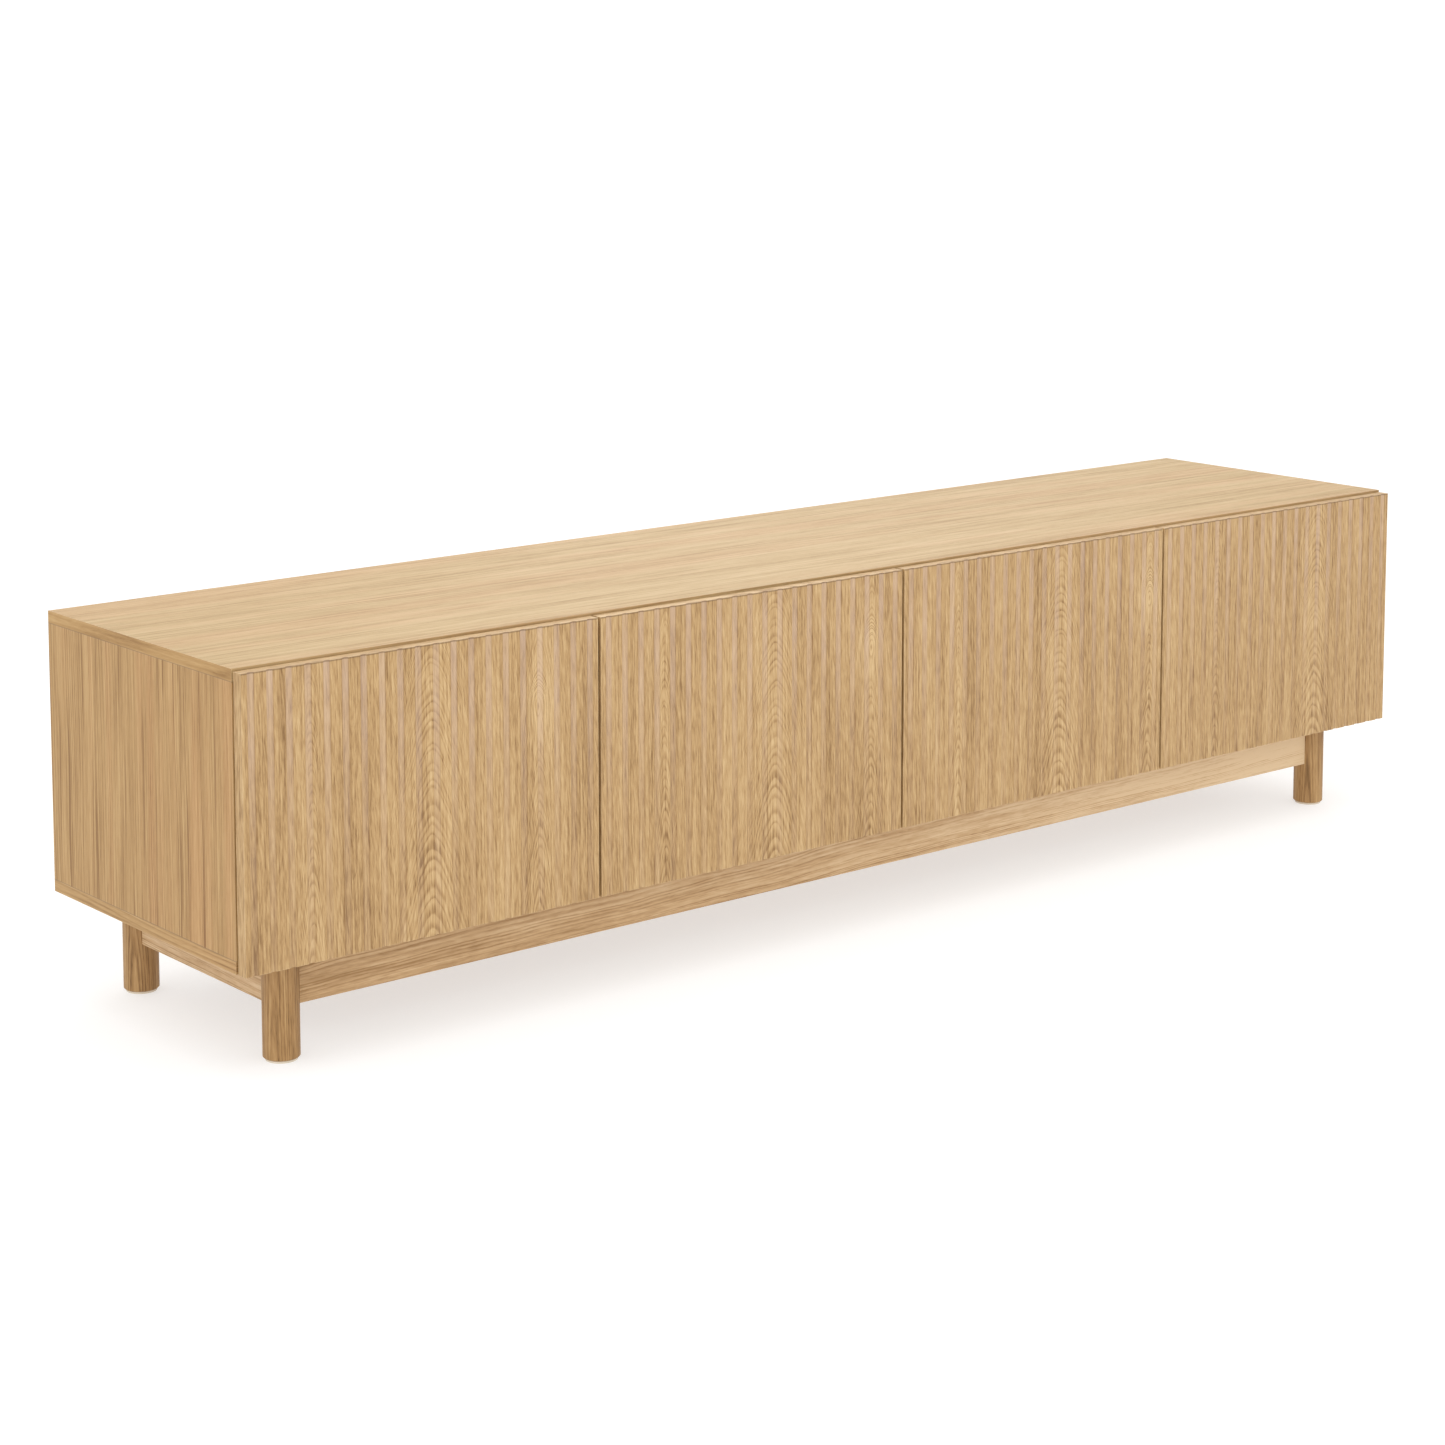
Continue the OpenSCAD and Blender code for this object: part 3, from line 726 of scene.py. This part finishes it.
def dress_all(names, material):
    for name in names:
        dress(name, material)


def soften(name, edge):
    """Joins the faces of a CAD node, rounds its sharp edges a little and shades it smooth."""
    piece = NODES[name]
    weld = piece.modifiers.new("weld", "WELD")
    weld.merge_threshold = 0.01 * MM
    bevel = piece.modifiers.new("soft_edges", "BEVEL")
    bevel.width = edge
    bevel.segments = 2
    bevel.limit_method = "ANGLE"
    bevel.angle_limit = math.radians(SHARP_ANGLE)
    bevel.use_clamp_overlap = True
    bevel.miter_outer = "MITER_ARC"
    shade = piece.modifiers.new("even_shading", "WEIGHTED_NORMAL")
    shade.keep_sharp = False
    shade.weight = 60


def dress_boards():
    board = (BOARD_DARK, BOARD_MID, BOARD_LIGHT)
    top = (TOP_DARK, TOP_MID, TOP_LIGHT)
    # the top wears a paler copy of the boards' colours, in part painted sheen
    calm = board_oak("top_panel", "X", "Z", top, board, TOP_WOOD, TOP_STRAND, TOP_DRIFT, TOP_SPECULAR)
    dress("top_panel", calm)
    for name in ("bottom_panel", "shelf_1", "shelf_2", "shelf_3", "shelf_4"):
        dress(name, board_oak(name, "X", "Z", board, board))
    for name in ("side_panel_left", "side_panel_right"):
        dress(name, board_oak(name, "Z", "X", board, board))
    for name in ("centre_divider", "partition_left", "partition_right"):
        dress(name, board_oak(name, "Z", "X", board, board))
    dress_all(("back_panel_left", "back_panel_right"), printed_back("back_foil"))


def dress_frame():
    """The legs and rails under the cabinet."""
    leg = (SOLID_DARK, SOLID_MID, SOLID_LIGHT)
    rail = (RAIL_DARK, RAIL_MID, RAIL_LIGHT)
    long_rail = {"taper": RAIL_TAPER, "wave": LONG_RAIL_WAVE, "paler": LONG_RAIL_PALER}
    for name in ("leg_front_left", "leg_front_right", "leg_rear_left", "leg_rear_right"):
        dress(name, solid_oak(name, "Z", LEG_HEART, leg))
    for name in ("front_apron", "rear_rail"):
        dress(name, solid_oak(name, "X", RAIL_HEART, rail, **long_rail))
    for name in ("side_rail_left", "side_rail_right", "cross_rail_left", "cross_rail_right"):
        dress(name, solid_oak(name, "Y", RAIL_HEART, rail, RAIL_TAPER))


def dress_hardware():
    nickel = metal("nickel_plate", NICKEL_BRIGHT, NICKEL_DULL, 0.26, 0.7)
    zinc = metal("zinc_plate", ZINC_BRIGHT, ZINC_DULL, 0.38, 0.25)
    pale = plastic("pale_plastic", PLASTIC_PALE, PLASTIC_SHADE, 0.42)
    rubber = plastic("clear_rubber", RUBBER_PALE, PLASTIC_SHADE, 0.3, clear=0.6)
    wooden = beech("beech_dowel")
    finishes = {
        "zinc_steel": zinc,
        "nickel_steel": nickel,
        "pale_plastic": pale,
        "clear_rubber": rubber,
        "dowel_beech": wooden,
    }
    for piece in NODES.values():
        finish = finishes.get(piece.data.materials[0].name)
        if finish is not None:
            dress(piece.name, finish)


def dress_doors():
    for name in DOOR_FIGURES:
        dress(name, door_oak(name))


def soften_all():
    for name in DOOR_FIGURES:
        soften(name, DOOR_ROUND)
    for name in NODES:
        if name.startswith(THIN_BOARDS):
            soften(name, THIN_ROUND)
        if name.startswith(THICK_PIECES):
            soften(name, THICK_ROUND)


# ---------------------------------------------------------------- the studio


def aim(thing, place, target):
    thing.location = place
    towards = [end - start for start, end in zip(place, target)]
    flat = math.hypot(towards[0], towards[1])
    tilt = math.atan2(flat, -towards[2])
    turn = math.atan2(-towards[0], towards[1])
    thing.rotation_euler = Euler((tilt, 0.0, turn))


def make_camera():
    data = bpy.data.cameras.new("camera")
    data.sensor_width = CAMERA_SENSOR
    data.lens = CAMERA_LENS
    data.shift_y = CAMERA_SHIFT
    camera = bpy.data.objects.new("camera", data)
    camera.location = CAMERA_PLACE
    camera.rotation_euler = Euler((math.radians(90 - CAMERA_DOWN), 0.0, math.radians(CAMERA_TURN)))
    bpy.context.scene.collection.objects.link(camera)
    bpy.context.scene.camera = camera


def make_lights():
    for name, (place, across, deep, watts) in LIGHTS.items():
        data = bpy.data.lights.new(name, "AREA")
        data.shape = "RECTANGLE"
        data.size = across
        data.size_y = deep
        data.energy = watts
        lamp = bpy.data.objects.new(name, data)
        aim(lamp, place, LIGHT_TARGET)
        bpy.context.scene.collection.objects.link(lamp)


def make_sky():
    world = bpy.data.worlds.new("studio")
    bpy.context.scene.world = world
    world.use_nodes = True
    background = world.node_tree.nodes["Background"]
    background.inputs["Color"].default_value = WHITE
    background.inputs["Strength"].default_value = SKY_STRENGTH


def make_floor():
    corners = [(-FLOOR_HALF, -FLOOR_HALF, 0), (FLOOR_HALF, -FLOOR_HALF, 0)]
    corners += [(FLOOR_HALF, FLOOR_HALF, 0), (-FLOOR_HALF, FLOOR_HALF, 0)]
    mesh = bpy.data.meshes.new("floor")
    mesh.from_pydata(corners, [], [(0, 1, 2, 3)])
    floor = bpy.data.objects.new("floor", mesh)
    bpy.context.scene.collection.objects.link(floor)
    graph = Graph("floor_paint")
    graph.shader.inputs["Base Color"].default_value = linear(FLOOR_PAINT)
    graph.shader.inputs["Roughness"].default_value = FLOOR_ROUGHNESS
    graph.shader.inputs["Specular IOR Level"].default_value = FLOOR_SPECULAR
    graph.shader.inputs["Emission Color"].default_value = WHITE
    graph.shader.inputs["Emission Strength"].default_value = FLOOR_GLOW
    mesh.materials.append(graph.material)


dress_boards()
dress_frame()
dress_hardware()
dress_doors()
soften_all()
make_floor()
make_sky()
make_lights()
make_camera()
bpy.context.scene.view_settings.view_transform = "Standard"
